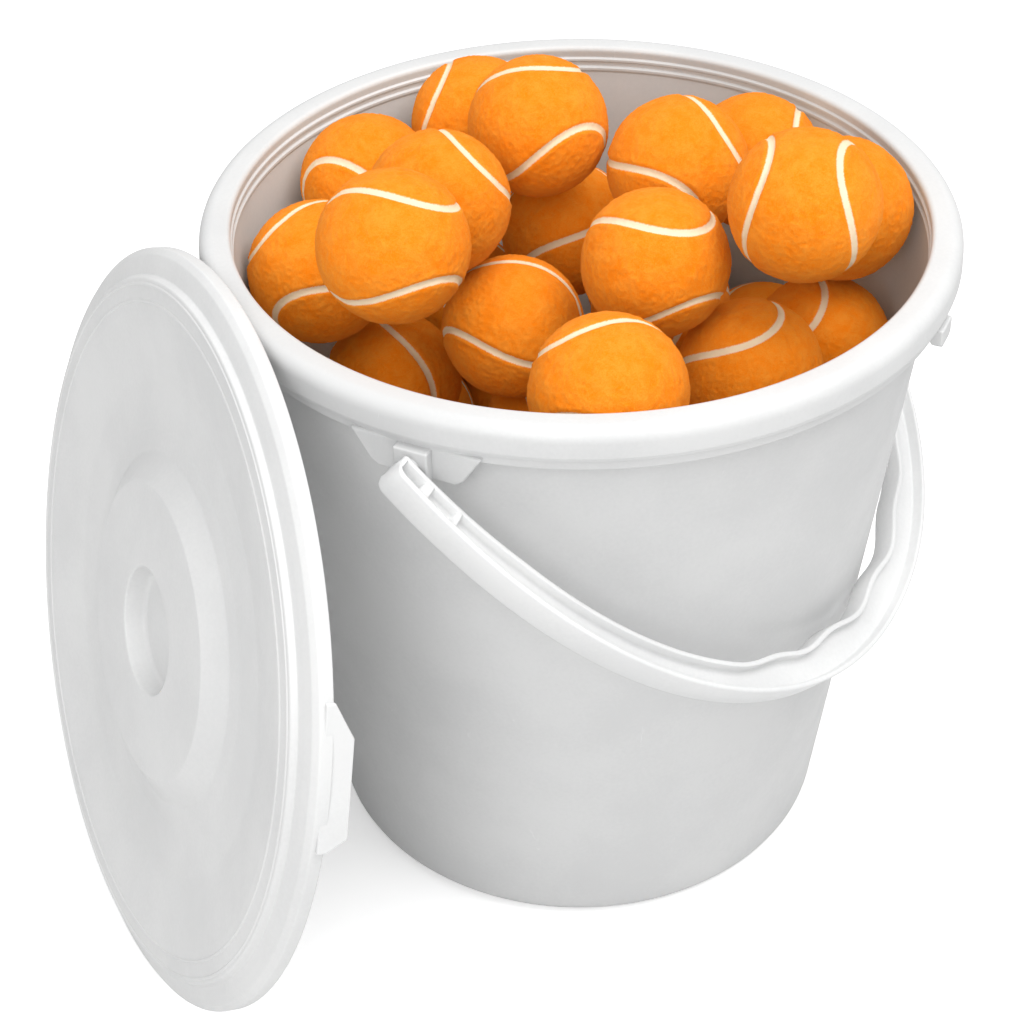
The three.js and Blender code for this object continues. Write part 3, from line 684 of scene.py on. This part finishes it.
def feltRadius(points, distance, radius, seed):
    # ball radius, less the seam's groove, plus lumps and tufts of the nap
    groove = ball["grooveDepth"] * np.exp(-(distance / ball["grooveWidth"]) ** 2)
    lip = 0.22 * np.exp(-((distance - 3.1) / 1.2) ** 2)
    covered = smoothStep(distance, 1.2, 2.6)
    tufts = ball["tuft"] * valueNoise(points, 1.4, seed + 3) * covered
    lump = ball["lump"] * valueNoise(points, 7.0, seed) + tufts
    return radius - 0.35 - groove + lip + lump


def addAttribute(piece, values):
    attribute = piece.data.attributes.new("seamDistance", "FLOAT", "POINT")
    attribute.data.foreach_set("value", values.astype(np.float32))


def nodeBall(nodes):
    # centre and radius of the box round these nodes
    low = np.min([np.array(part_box(n)[0]) for n in nodes], axis=0) / mm
    high = np.max([np.array(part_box(n)[1]) for n in nodes], axis=0) / mm
    return (low + high) / 2, float((high - low).max() / 2)


def bodyOf(node):
    return next(body for body, members in bodies.items() if node in members)


sphereDirections, sphereQuads = cubeSphere(ball["cells"])
sphereDistance = seamDistanceOf(sphereDirections, ball["radius"])
for index, (name, turns) in enumerate(seamTurns.items()):
    nodes = ["ball_" + name]
    if name == "front":
        nodes = ["ball_front_felt_a", "ball_front_felt_b"]
    centre, radius = nodeBall(nodes)
    directions = sphereDirections @ turnMatrix(turns).T
    skin = feltRadius(directions * radius + centre, sphereDistance, radius, index)
    points, quads, distances = centre + directions * skin[:, None], sphereQuads, sphereDistance
    if name == "front":
        coreRadius = nodeBall(["ball_front_core_upper", "ball_front_core_lower"])[1] + ball["glue"]
        points = np.concatenate([points, centre + directions * coreRadius])
        quads = np.concatenate([quads, quads[:, ::-1] + len(directions)])
        distances = np.concatenate([distances, distances])
    piece = makePiece("ball_" + name + "_felt", points, quads, [], felt)
    addAttribute(piece, distances)
    ride(piece, bodyOf(nodes[0]), "orange_felt", *nodes)

buried = sorted(n for n in frame["nodes"] if n.startswith("ball_layer"))
directions, cellQuads = cubeSphere(ball["buriedCells"])
distance = seamDistanceOf(directions, ball["radius"])
randomTurns = np.random.default_rng(7).uniform(-180, 180, (len(buried), 3))
points, quads, distances = [], [], []
for index, node in enumerate(buried):
    centre, radius = nodeBall([node])
    turned = directions @ turnMatrix(randomTurns[index]).T
    groove = ball["buriedGroove"] * np.exp(-(distance / ball["buriedGrooveWidth"]) ** 2)
    points.append(centre + turned * (radius - ball["buriedInset"] - groove)[:, None])
    quads.append(cellQuads + index * len(directions))
    distances.append(distance)
heap = makePiece("buriedBalls", np.concatenate(points), np.concatenate(quads), [], felt)
addAttribute(heap, np.concatenate(distances))
ride(heap, "bucket", "orange_felt", *buried)

for node in ("ball_front_core_upper", "ball_front_core_lower"):
    frame["nodes"][node].data.materials.clear()
    frame["nodes"][node].data.materials.append(rubber)
print("balls ready")


studio = {"floorSize": 6.0, "worldStrength": 0.60, "keyEnergy": 25.0, "keySize": 1.3, "fillEnergy": 14.0,
          "floorGlow": 0.35, "floorBounce": 0.75, "fillSize": 1.2,
          "keyPlace": (0.55, 0.25, 1.9), "fillPlace": (-0.45, 1.5, 1.3)}


def makeFloor():
    material, tree, shader = newMaterial("paleFloor", Roughness=0.85)
    place = tree.nodes.new("ShaderNodeTexCoord").outputs["Object"]
    seen = tree.nodes.new("ShaderNodeLightPath").outputs["Is Camera Ray"]
    cloud = addMix(tree, addNoise(tree, place, 3, 2, 0.5), (0.93, 0.93, 0.93), (0.95, 0.95, 0.95))
    bounce = (studio["floorBounce"],) * 3
    tree.links.new(addMix(tree, seen, bounce, cloud), shader.inputs["Base Color"])
    tree.links.new(addMix(tree, seen, (0.0, 0.0, 0.0), (1.0, 1.0, 1.0)), shader.inputs["Emission Color"])
    shader.inputs["Emission Strength"].default_value = studio["floorGlow"]
    half = studio["floorSize"] / 2
    corners = np.array([[-half, -half, 0], [half, -half, 0], [half, half, 0], [-half, half, 0]])
    mesh = bpy.data.meshes.new("floor")
    mesh.from_pydata(corners.tolist(), [], [[0, 1, 2, 3]])
    mesh.materials.append(material)
    floor = bpy.data.objects.new("floor", mesh)
    bpy.context.scene.collection.objects.link(floor)


def addLight(name, position, target, energy, size):
    data = bpy.data.lights.new(name, "AREA")
    data.energy, data.size = energy, size
    lamp = bpy.data.objects.new(name, data)
    lamp.location = position
    lamp.rotation_euler = (Vector(target) - Vector(position)).to_track_quat("-Z", "Y").to_euler()
    bpy.context.scene.collection.objects.link(lamp)


def makeWorld():
    world = bpy.data.worlds.new("studioAir")
    bpy.context.scene.world = world
    world.use_nodes = True
    tree = world.node_tree
    air = tree.nodes["Background"]
    seen = tree.nodes.new("ShaderNodeLightPath").outputs["Is Camera Ray"]
    strength = addMath(tree, "MULTIPLY_ADD", seen, 1.0 - studio["worldStrength"], studio["worldStrength"])
    air.inputs["Color"].default_value = (1, 1, 1, 1)
    tree.links.new(strength, air.inputs["Strength"])


eye = {"position": (-0.3887, -0.7629, 0.8307), "yaw": 24.859, "pitch": 38.369, "roll": -0.995, "lens": 79.10}


def makeCamera():
    yaw, pitch, roll = (math.radians(eye[k]) for k in ("yaw", "pitch", "roll"))
    ahead = Vector((math.sin(yaw) * math.cos(pitch), math.cos(yaw) * math.cos(pitch), -math.sin(pitch)))
    right = Vector((math.cos(yaw), -math.sin(yaw), 0))
    above = right.cross(ahead)
    side = right * math.cos(roll) + above * math.sin(roll)
    top = above * math.cos(roll) - right * math.sin(roll)
    data = bpy.data.cameras.new("eye")
    data.lens, data.sensor_width = eye["lens"], 36
    data.clip_start, data.clip_end = 0.05, 20
    camera = bpy.data.objects.new("eye", data)
    turn = Matrix((side, top, -ahead)).transposed().to_4x4()
    camera.matrix_world = Matrix.Translation(eye["position"]) @ turn
    bpy.context.scene.collection.objects.link(camera)
    bpy.context.scene.camera = camera
    return side, ahead


makeFloor()
makeWorld()
cameraSide, cameraAhead = makeCamera()
front = Vector((-cameraAhead.x, -cameraAhead.y, 0)).normalized()
right = Vector((cameraSide.x, cameraSide.y, 0)).normalized()


def lampPlace(place):
    # place is (to the camera's right, towards the camera, up), in metres
    return right * place[0] + front * place[1] + Vector((0, 0, place[2]))


addLight("keyLight", lampPlace(studio["keyPlace"]), (0, 0, 0.15), studio["keyEnergy"], studio["keySize"])
addLight("fillLight", lampPlace(studio["fillPlace"]), (0, 0, 0.25), studio["fillEnergy"], studio["fillSize"])
bpy.context.scene.view_settings.view_transform = "Standard"
print("stage ready")
